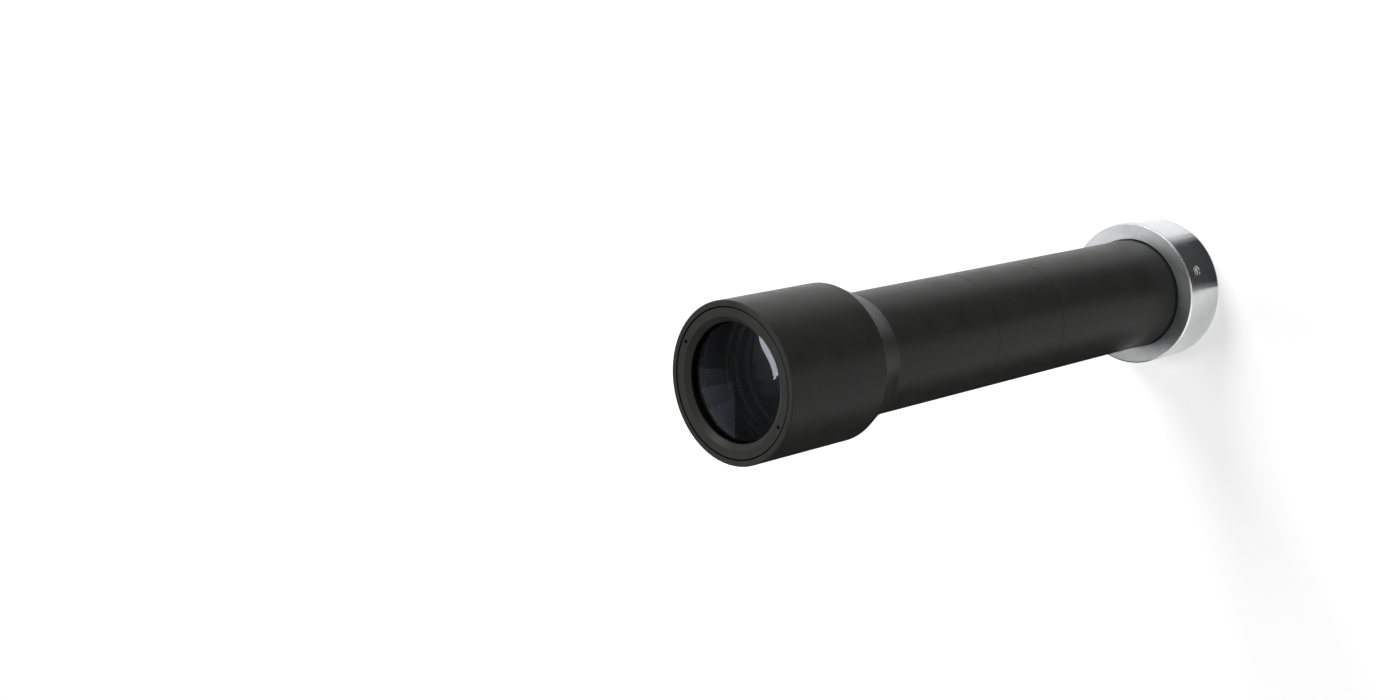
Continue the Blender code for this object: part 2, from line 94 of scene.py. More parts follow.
def ease_circles(mesh, corners):
    """Bevel the circles through the (radius, height, easing) corners, in edit mode."""
    for width in sorted({corner[2] for corner in corners}):
        circles = [corner[:2] for corner in corners if corner[2] == width]
        bpy.ops.mesh.select_all(action="DESELECT")
        shape = bmesh.from_edit_mesh(mesh)
        for edge in shape.edges:
            ends = [(vert.co.xy.length, vert.co.z) for vert in edge.verts]
            for radius, height in circles:
                on_circle = [
                    abs(r - radius * MM) < SAME_PLACE and abs(z - height * MM) < SAME_PLACE
                    for r, z in ends
                ]
                if all(on_circle):
                    edge.select_set(True)
        bmesh.update_edit_mesh(mesh)
        bpy.ops.mesh.bevel(offset=width * MM, segments=3, affect="EDGES", clamp_overlap=False)


def turn(name, half_section, sides=TURNED_SIDES, ring=True):
    """Spin a half-section of (radius, height, easing) corners, in mm, round the Z axis.

    A ring's section is closed. A solid's section starts and ends on the axis.
    """
    corners = [(*corner, 0.0)[:3] for corner in half_section]
    points = [Vector((radius, 0.0, height)) * MM for radius, height, _ in corners]
    deselect_all()
    bpy.ops.mesh.primitive_plane_add(size=MM, location=points[0])
    piece = bpy.context.object
    piece.name = piece.data.name = name
    bpy.ops.object.transform_apply(location=True, rotation=True, scale=True)
    bpy.ops.object.mode_set(mode="EDIT")
    bpy.ops.mesh.select_all(action="SELECT")
    bpy.ops.mesh.merge(type="CENTER")
    route = points + points[:1] if ring else points
    for here, there in zip(route, route[1:]):
        bpy.ops.mesh.extrude_region_move(TRANSFORM_OT_translate={"value": there - here})
    bpy.ops.mesh.select_all(action="SELECT")
    bpy.ops.mesh.remove_doubles(threshold=SAME_PLACE)
    bpy.ops.mesh.spin(steps=sides, angle=math.tau, center=(0, 0, 0), axis=(0, 0, 1))
    bpy.ops.mesh.select_all(action="SELECT")
    bpy.ops.mesh.remove_doubles(threshold=SAME_PLACE)
    bpy.ops.mesh.normals_make_consistent(inside=False)
    ease_circles(piece.data, [corner for corner in corners if corner[2]])
    bpy.ops.object.mode_set(mode="OBJECT")
    return piece


print("Pieces are turned with", TURNED_SIDES, "sides")

# %% [markdown]
# Cutting and placing
#
# A hole on the axis is part of the outline. One beside the axis or across it can't be turned with
# the piece, and neither can a hexagon. So a cutter is made like any piece, put in its place and
# taken out with a Boolean. A finished piece keeps its origin at the world's and holds its place in
# its mesh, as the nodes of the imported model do, so every move is applied at once.

# %% Cutting and placing
def apply_modifier(piece, kind, **settings):
    """Add one modifier to the piece and apply it."""
    deselect_all()
    piece.select_set(True)
    bpy.context.view_layer.objects.active = piece
    bpy.ops.object.modifier_add(type=kind)
    modifier = piece.modifiers[-1]
    for setting, value in settings.items():
        setattr(modifier, setting, value)
    bpy.ops.object.modifier_apply(modifier=modifier.name)


def cut(piece, cutter):
    """Take the cutter's shape out of the piece, and throw the cutter away."""
    apply_modifier(piece, "BOOLEAN", operation="DIFFERENCE", solver="EXACT", object=cutter)
    bpy.data.objects.remove(cutter)


def place(piece, turned=(0.0, 0.0, 0.0), moved=(0.0, 0.0, 0.0)):
    """Turn and move a piece in space, in radians and mm, and leave its origin at the world's."""
    deselect_all()
    piece.select_set(True)
    bpy.context.view_layer.objects.active = piece
    piece.rotation_euler = turned
    piece.location = Vector(moved) * MM
    bpy.ops.object.transform_apply(location=True, rotation=True, scale=True)


# %% [markdown]
# Finishing a piece
#
# Faces that meet at less than 40 degrees are shaded as one round surface, and sharper corners
# stay corners. The Weighted Normal modifier lets large faces rule, so that a narrow eased edge
# doesn't smear its shading over the flat beside it. Then the frame is told what the piece rides
# on, and the imported nodes it stands for are hidden.

# %% Finishing a piece
SHARP = math.radians(40)


def shade(piece):
    """Smooth round faces, keep corners, and let the large faces rule the shading at small ones."""
    deselect_all()
    piece.select_set(True)
    bpy.context.view_layer.objects.active = piece
    bpy.ops.object.shade_smooth_by_angle(angle=SHARP)
    apply_modifier(piece, "WEIGHTED_NORMAL", keep_sharp=True, weight=50)


def hand_over(piece, slot, *replaced):
    """Tell the frame what the piece rides on and which nodes it stands for. The slot is not used.
    """
    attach(piece, "root")
    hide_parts(*replaced)
    print(piece.name, "has", len(piece.data.polygons), "faces")


print("Corners of more than", round(math.degrees(SHARP)), "degrees stay sharp")

# %% [markdown]
# Threads
#
# A fine thread climbs less than a degree per turn, so its helix can't be told from plain rings at
# this scale. A Screw modifier could make the helix, but its ends are hard to close. Rings of the
# thread's own pitch are part of the half-section instead, which costs two corners a turn. A
# metric thread's groove is about 0.6 of its pitch deep.

# %% Thread profile
def thread(radius, start, end, pitch, depth):
    """Corners of V turns on a wall, from height start to end.

    A positive depth points to the axis, as grooves in a rod do. In a bore it makes ridges, and a
    negative one makes grooves.
    """
    turns = int(abs(end - start) / pitch)
    step = pitch if end > start else -pitch
    corners = []
    for number in range(turns):
        height = start + number * step
        corners += [(radius, height), (radius - depth, height + step / 2)]
    return corners + [(radius, start + turns * step)]


print("Two turns have", len(thread(10.0, 0.0, 2.0, 1.0, 0.6)), "corners")

# %% [markdown]
# Front barrel
#
# Head, cone and front tube are turned from one bar: no gap line shows where the cone meets the
# tube. The head's front edge has a narrow chamfer. Inside, the thread for the retaining ring
# comes first, then the bore and seat of the front glass. Below the seat, three small ridges run
# round the head's bore. Their upper sides get a paler colour than the flat black round them, a
# painted highlight that draws the faint arcs that show behind the glass. The walls that light
# could glance off are cut in fine steps, which is what a lens maker does to swallow stray light.
# At the lower end is the socket of the first joint.
#
# All sizes are in millimetres. Radii are measured from the optical axis and heights from the
# camera's face. The imported model gives the height of the rim, and what several pieces share is
# named here once.

# %% Sizes of the head and the tubes
RIM = round(cad_box[1][2] / MM, 2)
HEAD_RADIUS = 30.0
HEAD_CHAMFER = 0.4
HEAD_FOOT = RIM - 50.0
CONE_FOOT = RIM - 65.0
HEAD_BORE = 25.0
HEAD_FLOOR = 227.0
GLASS_SEAT = 248.3
RING_SEAT = 270.47
RING_PITCH = 0.75
RING_GROOVE = 0.2
TUBE_RADIUS = 23.75
TUBE_BORE = 20.0
STEP_PITCH = 2.5
STEP_DEPTH = 0.6
STEP_MARGIN = 2.0
FIRST_JOINT = 149.0
SOCKET_RADIUS = 22.2
SOCKET_DEPTH = 14.0
SEAM = 0.14
EASED = 0.1
print("The rim is", RIM, "mm high, and the first joint", FIRST_JOINT)


def joint_socket(joint):
    """Corners of a tube's lower end, from its outside to its bore."""
    return [
        (TUBE_RADIUS, joint + SEAM, EASED),
        (SOCKET_RADIUS, joint + SEAM),
        (SOCKET_RADIUS, joint + SOCKET_DEPTH),
        (TUBE_BORE, joint + SOCKET_DEPTH),
    ]


# %% Front barrel
RIDGE_HEIGHTS = (234.6, 237.5, 240.7)
RIDGE_RISE = 0.6
RIDGE_REACH = 0.4
head_ridges = []
for height in RIDGE_HEIGHTS:
    head_ridges += [
        (HEAD_BORE, height - RIDGE_REACH),
        (HEAD_BORE - RIDGE_RISE, height),
        (HEAD_BORE, height + RIDGE_REACH),
    ]
first_step = FIRST_JOINT + SOCKET_DEPTH + STEP_MARGIN
front_barrel = turn("front_barrel_turned", [
    (27.8, RIM, 0.06),
    (HEAD_RADIUS - HEAD_CHAMFER, RIM, 0.05),
    (HEAD_RADIUS, RIM - HEAD_CHAMFER, 0.05),
    (HEAD_RADIUS, HEAD_FOOT, 0.12),
    (TUBE_RADIUS, CONE_FOOT, 0.25),
    *joint_socket(FIRST_JOINT),
    *thread(TUBE_BORE, first_step, HEAD_FOOT, STEP_PITCH, -STEP_DEPTH),
    (TUBE_BORE, HEAD_FLOOR),
    (HEAD_BORE, HEAD_FLOOR),
    *head_ridges,
    (HEAD_BORE, GLASS_SEAT),
    (27.1, GLASS_SEAT),
    (27.1, RING_SEAT),
    *thread(27.8, RING_SEAT, RIM - 0.6, RING_PITCH, RING_GROOVE),
])
shade(front_barrel)
hand_over(front_barrel, "black_anodised_aluminium", "front_barrel")

# %% [markdown]
# Front retaining ring
#
# A threaded ring screws down on the front glass and holds it. Its lip has a wide chamfer towards
# the glass, so that the rim shades as little of the view as possible, and its underside slopes
# with the glass. A pin spanner turns it by two small holes. Each hole could be drawn with a bump,
# but a real hole is seen from the side as well, so a small drill shape with a countersunk mouth
# is turned and taken out with a Boolean.

# %% Front retaining ring
SPANNER_HOLE_CIRCLE = 25.8
SPANNER_HOLE_ANGLES = (54.0, 234.0)
RETAINER_TOP = RIM - 0.2
LIP_RADIUS = 22.1
retaining_ring = turn("front_retaining_ring_turned", [
    (24.1, RETAINER_TOP, 0.06),
    (27.3, RETAINER_TOP, 0.06),
    (27.3, 274.1),
    *thread(27.5, 273.9, 271.4, RING_PITCH, RING_GROOVE),
    (27.5, 271.07),
    (25.2, 271.07),
    (LIP_RADIUS, 271.83, 0.05),
    (LIP_RADIUS, 273.0, 0.05),
])
for angle in SPANNER_HOLE_ANGLES:
    drill = turn("drill", [
        (0.0, 272.6),
        (0.65, 273.0),
        (0.65, 274.6),
        (0.82, 274.82),
        (0.82, 275.4),
        (0.0, 275.4),
    ], sides=32, ring=False)
    along = math.radians(angle)
    moved = (SPANNER_HOLE_CIRCLE * math.cos(along), SPANNER_HOLE_CIRCLE * math.sin(along), 0.0)
    place(drill, moved=moved)
    cut(retaining_ring, drill)
shade(retaining_ring)
hand_over(retaining_ring, "black_anodised_aluminium", "front_retaining_ring")

# %% [markdown]
# Glass elements
#
# A polished lens face is part of a sphere, and a polisher's drawing gives the sphere's radius. So
# the half-section follows two arcs, from the axis out along the front and back along the rear,
# with a small safety bevel at the edge. A positive radius bulges towards the front. The front
# glass is a cemented pair: the crown's rear and the flint's front have one curve, and the film of
# cement between them is far thinner than can be shown, so 0.02 mm is left there.

# %% Glass helpers
ARC_STEPS = 24
SAFETY_BEVEL = 0.25


def arc(vertex, curve, radius):
    """Corners along a polished face, from the axis out."""
    corners = []
    for step in range(ARC_STEPS + 1):
        reach = radius * step / ARC_STEPS
        fall = curve - math.copysign(math.sqrt(curve**2 - reach**2), curve)
        corners.append((reach, vertex - fall))
    return corners


def glass(name, radius, front, rear):
    """A lens element from its (vertex height, radius of curvature) in front and behind."""
    front_arc = arc(*front, radius - SAFETY_BEVEL)
    rear_arc = arc(*rear, radius - SAFETY_BEVEL)
    edge = [(radius, front_arc[-1][1] - SAFETY_BEVEL), (radius, rear_arc[-1][1] + SAFETY_BEVEL)]
    return turn(name, front_arc + edge + rear_arc[::-1], sides=128, ring=False)


print("A polished face is drawn with", ARC_STEPS, "steps from the axis to its edge")

# %% Front group
GLASS_RADIUS = 26.8
crown = glass("front_crown_polished", GLASS_RADIUS, (274.0, 100.0), (260.26, -95.0))
flint = glass("front_flint_polished", GLASS_RADIUS, (260.24, -95.0), (255.6, -420.0))
meniscus = glass("front_meniscus_polished", GLASS_RADIUS, (253.94, 270.0), (248.94, 1000.0))
for piece in (crown, flint, meniscus):
    shade(piece)
hand_over(crown, "crown_glass", "front_crown_element")
hand_over(flint, "flint_glass", "front_flint_element")
hand_over(meniscus, "crown_glass", "front_meniscus_element")

# %% [markdown]
# Rings behind the front glass
#
# Two black rings can be seen through the front glass: the spacer that sets the air gap between
# the front group's lenses, and the light baffle on the floor of the head. The baffle's opening
# ends in a fine edge, bevelled away behind, so that the edge itself reflects next to nothing.

# %% Spacer and head baffle
SPACER_BORE = 25.2
SPACER_TOP = 256.06
SPACER_FOOT = 253.06
BAFFLE_OPENING = 19.5
BAFFLE_TOP = 229.3
BAFFLE_FOOT = 227.3
spacer = turn("front_spacer_turned", [
    (SPACER_BORE, SPACER_TOP, 0.1),
    (GLASS_RADIUS, SPACER_TOP),
    (GLASS_RADIUS, SPACER_FOOT),
    (SPACER_BORE, SPACER_FOOT, 0.1),
    *thread(SPACER_BORE, 253.4, 255.6, 0.7, -0.2),
])
head_baffle = turn("head_baffle_turned", [
    (BAFFLE_OPENING, BAFFLE_TOP),
    (24.7, BAFFLE_TOP, 0.1),
    (24.7, BAFFLE_FOOT),
    (21.1, BAFFLE_FOOT),
    (BAFFLE_OPENING, BAFFLE_TOP - 0.4),
])
for piece, node in ((spacer, "front_spacer_ring"), (head_baffle, "head_baffle")):
    shade(piece)
    hand_over(piece, "black_anodised_aluminium", node)

# %% [markdown]
# Middle and rear tubes
#
# Each joint is a spigot that screws into the socket above it. Outside, all that shows is a
# hairline where the two eased edges meet. The lengths are turned like the barrel. The rear tube
# has a shallow groove near its lower end, where the points of the set screws press.

# %% Middle and rear tubes
SECOND_JOINT = 106.0
SPIGOT_RADIUS = 21.9
SPIGOT_LENGTH = 11.9
SPIGOT_CHAMFER = 0.5
HOLE_HEIGHT = 14.9
GROOVE_REACH = 2.5
GROOVE_RADIUS = 22.9
TUBE_END = 8.3
END_CHAMFER = 0.4
THROAT_RADIUS = 18.2


def joint_spigot(joint):
    """Corners of a tube's upper end, from its bore to its outside."""
    tip = joint + SPIGOT_LENGTH
    return [
        (TUBE_BORE, tip),
        (SPIGOT_RADIUS - SPIGOT_CHAMFER, tip),
        (SPIGOT_RADIUS, tip - SPIGOT_CHAMFER),
        (SPIGOT_RADIUS, joint),
        (TUBE_RADIUS, joint, EASED),
    ]


first_step = SECOND_JOINT + SOCKET_DEPTH + STEP_MARGIN
middle_tube = turn("middle_tube_turned", [
    *joint_spigot(FIRST_JOINT),
    *joint_socket(SECOND_JOINT),
    *thread(TUBE_BORE, first_step, FIRST_JOINT + 10.0, STEP_PITCH, -STEP_DEPTH),
])
rear_tube = turn("rear_tube_turned", [
    *joint_spigot(SECOND_JOINT),
    (TUBE_RADIUS, HOLE_HEIGHT + GROOVE_REACH),
    (GROOVE_RADIUS, HOLE_HEIGHT + GROOVE_REACH),
    (GROOVE_RADIUS, HOLE_HEIGHT - GROOVE_REACH),
    (TUBE_RADIUS, HOLE_HEIGHT - GROOVE_REACH),
    (TUBE_RADIUS, TUBE_END + END_CHAMFER),
    (TUBE_RADIUS - END_CHAMFER, TUBE_END),
    (THROAT_RADIUS, TUBE_END),
    (THROAT_RADIUS, 20.0),
    (TUBE_BORE, 20.0),
])
for piece, node in ((middle_tube, "middle_tube"), (rear_tube, "rear_tube")):
    shade(piece)
    hand_over(piece, "black_anodised_aluminium", node)

# %% [markdown]
# Mount ring
#
# The ring is bare aluminium, faced and turned bright. Its narrow chamfers show as white lines,
# drawn with a paler colour, a painted highlight. Under it is the recess with the thread for the
# camera, 42 mm with a pitch of 1 mm. It is turned like the tubes.

# %% Mount ring
RING_RADIUS = 31.25
RING_TOP = 22.0
RING_CHAMFER = 0.5
RING_SOCKET = 24.05
RING_MOUTH = 24.3
CAMERA_RADIUS = 21.0
CAMERA_PITCH = 1.0
CAMERA_GROOVE = 0.5
mount_ring = turn("mount_ring_turned", [
    (RING_SOCKET, 20.5),
    (RING_MOUTH, 20.5),
    (RING_MOUTH, RING_TOP, 0.06),
    (RING_RADIUS - RING_CHAMFER, RING_TOP, 0.05),
    (RING_RADIUS, RING_TOP - RING_CHAMFER, 0.05),
    (RING_RADIUS, RING_CHAMFER, 0.05),
    (RING_RADIUS - RING_CHAMFER, 0.0, 0.05),
    (CAMERA_RADIUS + 0.4, 0.0),
    *thread(CAMERA_RADIUS, 0.4, 5.4, CAMERA_PITCH, CAMERA_GROOVE),
    (CAMERA_RADIUS, 6.0),
    (THROAT_RADIUS, 6.0, 0.1),
    (THROAT_RADIUS, 8.0),
    (RING_SOCKET, 8.0),
])
print("The blank of the ring is", 2 * RING_RADIUS, "mm across")

# %% [markdown]
# Tapped holes
#
# Three M4 holes are drilled and tapped through the ring's side, one of which is seen in the front
# view, where the crests of its thread glint. One tap is turned with the thread's own grooves, laid
# on its side and turned to the hole's angle, and cuts the hole. The pitch of M4 is 0.7 mm. It is
# drawn at 1 mm here, with flat roots, so that the turns can be told apart in the picture.

# %% Tapped holes
HOLE_ANGLES = (-74.7, 45.3, 165.3)
HOLE_RADIUS = 2.15
HOLE_COUNTERSINK = 0.3
TAP_START = 23.4
TAP_TURNS = 7
TAP_PITCH = 1.0
TAP_ROOT = 0.4
TAP_CREST = 0.55
TAP_DEPTH = 0.35
tap_turns = []
for number in range(TAP_TURNS):
    low = TAP_START + number * TAP_PITCH
    tap_turns += [
        (HOLE_RADIUS, low),
        (HOLE_RADIUS, low + TAP_ROOT),
        (HOLE_RADIUS - TAP_DEPTH, low + TAP_CREST),
    ]
for angle in HOLE_ANGLES:
    tap = turn("tap", [
        (0.0, TAP_START),
        *tap_turns,
        (HOLE_RADIUS, TAP_START + TAP_TURNS * TAP_PITCH),
        (HOLE_RADIUS, RING_RADIUS - HOLE_COUNTERSINK),
        (HOLE_RADIUS + HOLE_COUNTERSINK, RING_RADIUS),
        (HOLE_RADIUS + HOLE_COUNTERSINK, 32.0),
        (0.0, 32.0),
    ], sides=40, ring=False)
    place(tap, turned=(0.0, math.pi / 2, 0.0))
    place(tap, turned=(0.0, 0.0, math.radians(angle)), moved=(0.0, 0.0, HOLE_HEIGHT))
    cut(mount_ring, tap)
shade(mount_ring)
hand_over(mount_ring, "bare_aluminium", "mount_ring")

# %% [markdown]
# Set screws
#
# Deep in each hole sits an M4 grub screw. It is turned with its thread and cone point, and a
# six-sided cylinder, pointed below like the bottom of a broached socket, takes out the hexagon for
# a 2 mm key. The Boolean leaves a few faces without an area, which Degenerate Dissolve removes. One
# screw is made and two are copies, each with a mesh of its own.

# %% Set screw
SCREW_TIP = 23.2
SCREW_TOP = 27.2
SCREW_RADIUS = 1.85
SCREW_CHAMFER = 0.2
POINT_LENGTH = 0.9
M4_PITCH = 0.7
M4_DEPTH = 0.27
thread_start = SCREW_TIP + POINT_LENGTH
thread_end = SCREW_TOP - SCREW_CHAMFER
screw = turn("set_screw", [
    (0.0, SCREW_TIP),
    (SCREW_RADIUS - POINT_LENGTH, SCREW_TIP),
    (SCREW_RADIUS, thread_start),
    *thread(SCREW_RADIUS, thread_start, thread_end, M4_PITCH, M4_DEPTH),
    (SCREW_RADIUS - SCREW_CHAMFER, SCREW_TOP),
    (0.0, SCREW_TOP),
], sides=48, ring=False)
print("The set screw is", round(SCREW_TOP - SCREW_TIP, 2), "mm long")

# %% Key socket
KEY_WIDTH = 2.0
KEY_LENGTH = 3.0
KEY_POINT = 0.5
TOO_THIN = 0.001
deselect_all()
bpy.ops.mesh.primitive_cylinder_add(
    vertices=6,
    radius=KEY_WIDTH / math.sqrt(3) * MM,
    depth=KEY_LENGTH * MM,
    location=(0, 0, thread_end * MM),
)
key = bpy.context.object
bpy.ops.object.mode_set(mode="EDIT")
bpy.ops.mesh.select_all(action="DESELECT")
key_shape = bmesh.from_edit_mesh(key.data)
for face in key_shape.faces:
    face.select_set(face.normal.z < -0.9)
bmesh.update_edit_mesh(key.data)
bpy.ops.mesh.extrude_region_move(TRANSFORM_OT_translate={"value": (0, 0, -KEY_POINT * MM)})
bpy.ops.mesh.merge(type="CENTER")
bpy.ops.object.mode_set(mode="OBJECT")
place(key, moved=(0.0, 0.0, thread_end))
cut(screw, key)
bpy.ops.object.mode_set(mode="EDIT")
bpy.ops.mesh.select_all(action="SELECT")
bpy.ops.mesh.dissolve_degenerate(threshold=TOO_THIN * MM)
bpy.ops.object.mode_set(mode="OBJECT")
print("The screw with its socket has", len(screw.data.polygons), "faces")

# %% Three screws in their holes
place(screw, turned=(0.0, math.pi / 2, 0.0))
screws = [screw]
for number in (2, 3):
    copy = screw.copy()
    copy.data = screw.data.copy()
    bpy.context.collection.objects.link(copy)
    screws.append(copy)
for number, (piece, angle) in enumerate(zip(screws, HOLE_ANGLES), start=1):
    piece.name = piece.data.name = f"set_screw_{number}_threaded"
    place(piece, turned=(0.0, 0.0, math.radians(angle)), moved=(0.0, 0.0, HOLE_HEIGHT))
    shade(piece)
    hand_over(piece, "screw_steel", f"mount_set_screw_{number}")

# %% [markdown]
# Materials
#
# Colours are written as sRGB hex values, as a colour picker shows them, and one function turns
# them to the linear values that Blender computes with. One more function adds a node with its
# settings and its inputs, each a number or a link from another node.

# %% Material helpers
def linear(code):
    """A hex colour as linear red, green, blue and alpha."""
    values = [int(code[start:start + 2], 16) / 255 for start in (1, 3, 5)]
    curve = [v / 12.92 if v <= 0.04045 else ((v + 0.055) / 1.055) ** 2.4 for v in values]
    return (*curve, 1.0)


def add(tree, kind, inputs=None, **settings):
    """Add a node. Settings are its own properties, and inputs are values or links."""
    made = tree.nodes.new(kind)
    for name, value in settings.items():
        setattr(made, name, value)
    for socket, value in (inputs or {}).items():
        if isinstance(value, bpy.types.NodeSocket):
            tree.links.new(value, made.inputs[socket])
        else:
            made.inputs[socket].default_value = value
    return made


def new_material(name):
    """A new material, its node tree and its Object coordinates, the tree's only node."""
    material = bpy.data.materials.new(name)
    material.use_nodes = True
    tree = material.node_tree
    tree.nodes.clear()
    coords = add(tree, "ShaderNodeTexCoord").outputs["Object"]
    return material, tree, coords


def give(piece, *materials):
    """Put materials in a piece's slots, in place of what was there."""
    piece.data.materials.clear()
    for material in materials:
        piece.data.materials.append(material)


def per_metre(size_mm):
    """The texture scale at which one feature is this many mm across."""
    return 1.0 / (size_mm * MM)


print("The middle grey #808080 is", round(linear("#808080")[0], 3), "in linear values")

# %% [markdown]
# Black anodised aluminium
#
# The tubes are turned, blasted matt with fine beads and anodised black. The dye sits in a clear
# oxide layer, so the surface is no metal to the eye: it shades like dark, slightly rough stone,
# and its shine is weak, because the blasting scatters it. The beads leave a grain of about
# 0.1 mm, too fine for the picture, so it is drawn at 0.3 mm. A cloudy mottle of some millimetres
# comes from the dye bath. A few specks of dust and tiny nicks lie on it: each cell of a Voronoi
# texture could hold one at its middle, and about one cell in five does. Inside, the walls are
# painted flat black over the anodising, which takes the last of the shine.

# %% Black anodised aluminium
GRAIN = 0.3
MOTTLE = 9.0
SPECK_SPACING = 3.2
SPECK_RADIUS = 0.112
SPECK_SHARE = 0.22


def black_anodised(name, dark, light, specular, roughness):
    material, tree, coords = new_material(name)
    mottle = add(tree, "ShaderNodeTexNoise", {
        "Vector": coords, "Scale": per_metre(MOTTLE), "Detail": 4.0, "Roughness": 0.6,
    })
    grain = add(tree, "ShaderNodeTexNoise", {
        "Vector": coords, "Scale": per_metre(GRAIN), "Detail": 2.0, "Roughness": 0.7,
    })
    shade_of = add(tree, "ShaderNodeMath", {
        0: mottle.outputs["Fac"], 1: grain.outputs["Fac"],
    }, operation="ADD")
    spread = add(tree, "ShaderNodeMapRange", {
        "Value": shade_of.outputs["Value"], "From Min": 0.6, "From Max": 1.4,
    })
    colour = add(tree, "ShaderNodeMix", {
        "Factor": spread.outputs["Result"], "A": linear(dark), "B": linear(light),
    }, data_type="RGBA")
    spots = add(tree, "ShaderNodeTexVoronoi", {
        "Vector": coords, "Scale": per_metre(SPECK_SPACING), "Randomness": 1.0,
    })
    near = add(tree, "ShaderNodeMath", {
        0: spots.outputs["Distance"], 1: SPECK_RADIUS / SPECK_SPACING,
    }, operation="LESS_THAN")
    lucky = add(tree, "ShaderNodeSeparateColor", {"Color": spots.outputs["Color"]})
    few = add(tree, "ShaderNodeMath", {
        0: lucky.outputs["Red"], 1: SPECK_SHARE,
    }, operation="LESS_THAN")
    specks = add(tree, "ShaderNodeMath", {
        0: near.outputs["Value"], 1: few.outputs["Value"],
    }, operation="MULTIPLY")
    dusted = add(tree, "ShaderNodeMix", {
        "Factor": specks.outputs["Value"], "A": colour.outputs["Result"], "B": linear("#6f6f6b"),
    }, data_type="RGBA")
    dull = add(tree, "ShaderNodeMapRange", {
        "Value": mottle.outputs["Fac"], "From Min": 0.3, "From Max": 0.7,
        "To Min": roughness - 0.05, "To Max": roughness + 0.05,
    })
    bump = add(tree, "ShaderNodeBump", {
        "Height": grain.outputs["Fac"], "Strength": 0.25, "Distance": 0.04 * MM,
    })
    shader = add(tree, "ShaderNodeBsdfPrincipled", {
        "Base Color": dusted.outputs["Result"],
        "Roughness": dull.outputs["Result"],
        "IOR": 1.5,
        "Specular IOR Level": specular,
        "Normal": bump.outputs["Normal"],
    })
    add(tree, "ShaderNodeOutputMaterial", {"Surface": shader.outputs["BSDF"]})
    return material


tube_black = black_anodised("black anodised aluminium", "#2c2d2c", "#383936", 0.09, 0.36)
inner_black = black_anodised("flat black paint inside", "#0c0c0c", "#131313", 0.08, 0.6)
print("Black finishes:", tube_black.name, "and", inner_black.name)

# %% [markdown]
# Where the black finishes go
#
# One piece can carry several materials: each face has a number that picks one of its slots. Faces
# could be picked by hand in edit mode. Here they are picked by their place, in zones between two
# radii and two heights, which stay right when a section gets more corners. The ridges in the
# head's bore keep the paler anodised colour on their upper sides, a painted highlight. The
# spanner holes and the retaining ring's thread get the flat black: painted shade in the holes and
# in the gap between the ring and the barrel.

# %% Where the black finishes go
def in_zone(face, zone):
    """Whether a face lies in a zone of (near, far, low, high), two radii and two heights in mm."""
    near, far, low, high = zone
    return near < face.center.xy.length / MM < far and low < face.center.z / MM < high


def blacken_inside(piece, *zones):
    """Give the faces in these zones the inside finish, and the others that of the outside."""
    give(piece, tube_black, inner_black)
    for face in piece.data.polygons:
        inside = any(in_zone(face, zone) for zone in zones)
        face.material_index = 1 if inside else 0


TUBE_INSIDE = (0.0, SOCKET_RADIUS + 0.1, 0.0, RIM)
HEAD_INSIDE = (0.0, 27.85, HEAD_FLOOR - 0.1, RIM - 0.1)
RIDGE_HIGHLIGHT_ZONE = (24.3, 24.95, 234.0, 241.2)
LIP_WALL = (0.0, LIP_RADIUS + 0.1, 271.0, 272.9)
# Painted shade: the spanner holes' walls and the ring's outer thread, in the gap beside the barrel,
# get the flat black.
SPANNER_HOLE_SHADE = (24.8, 26.8, 272.5, 274.58)
GAP_SHADE_ZONE = (27.0, 27.6, 271.0, 274.7)
blacken_inside(front_barrel, TUBE_INSIDE, HEAD_INSIDE)
# The upper sides of the ridges keep the paler anodised colour: a painted highlight.
for face in front_barrel.data.polygons:
    if in_zone(face, RIDGE_HIGHLIGHT_ZONE) and face.normal.z > 0.2:
        face.material_index = 0
blacken_inside(retaining_ring, LIP_WALL, SPANNER_HOLE_SHADE, GAP_SHADE_ZONE)
for piece in (middle_tube, rear_tube):
    blacken_inside(piece, TUBE_INSIDE)
for piece in (spacer, head_baffle):
    give(piece, inner_black)
print("Blackened inside:", front_barrel.name, retaining_ring.name, middle_tube.name, rear_tube.name)

# %% [markdown]
# Bare turned aluminium
#
# The mount ring was left as it came off the lathe, without anodising. Its tool leaves fine rings
# that follow the turning: round the side one above the other, and on the flat face one inside
# the other. The distance from the axis plus the height changes along both, so one pattern of
# that sum draws both. The rings scatter light across themselves, so the shine is stretched: the
# tangent runs round the axis and the highlight spreads at right angles to it. The real feed is
# about 0.1 mm per turn, drawn here at 0.25 mm with a coarser wave over it, and handling has left
# the metal slightly clouded.
#
# The flat face is duller than the side. The chamfers get a paler colour, a painted highlight. The
# walls of the tapped holes have no direction: the sides of the thread's crests get a pale colour,
# a painted glint, and the grooves a dark one, painted shade. The set screws are stainless steel,
# a darker metal with the same turning marks.

# %% Bare turned aluminium
FEED = 0.25
CLOUDS = 6.0


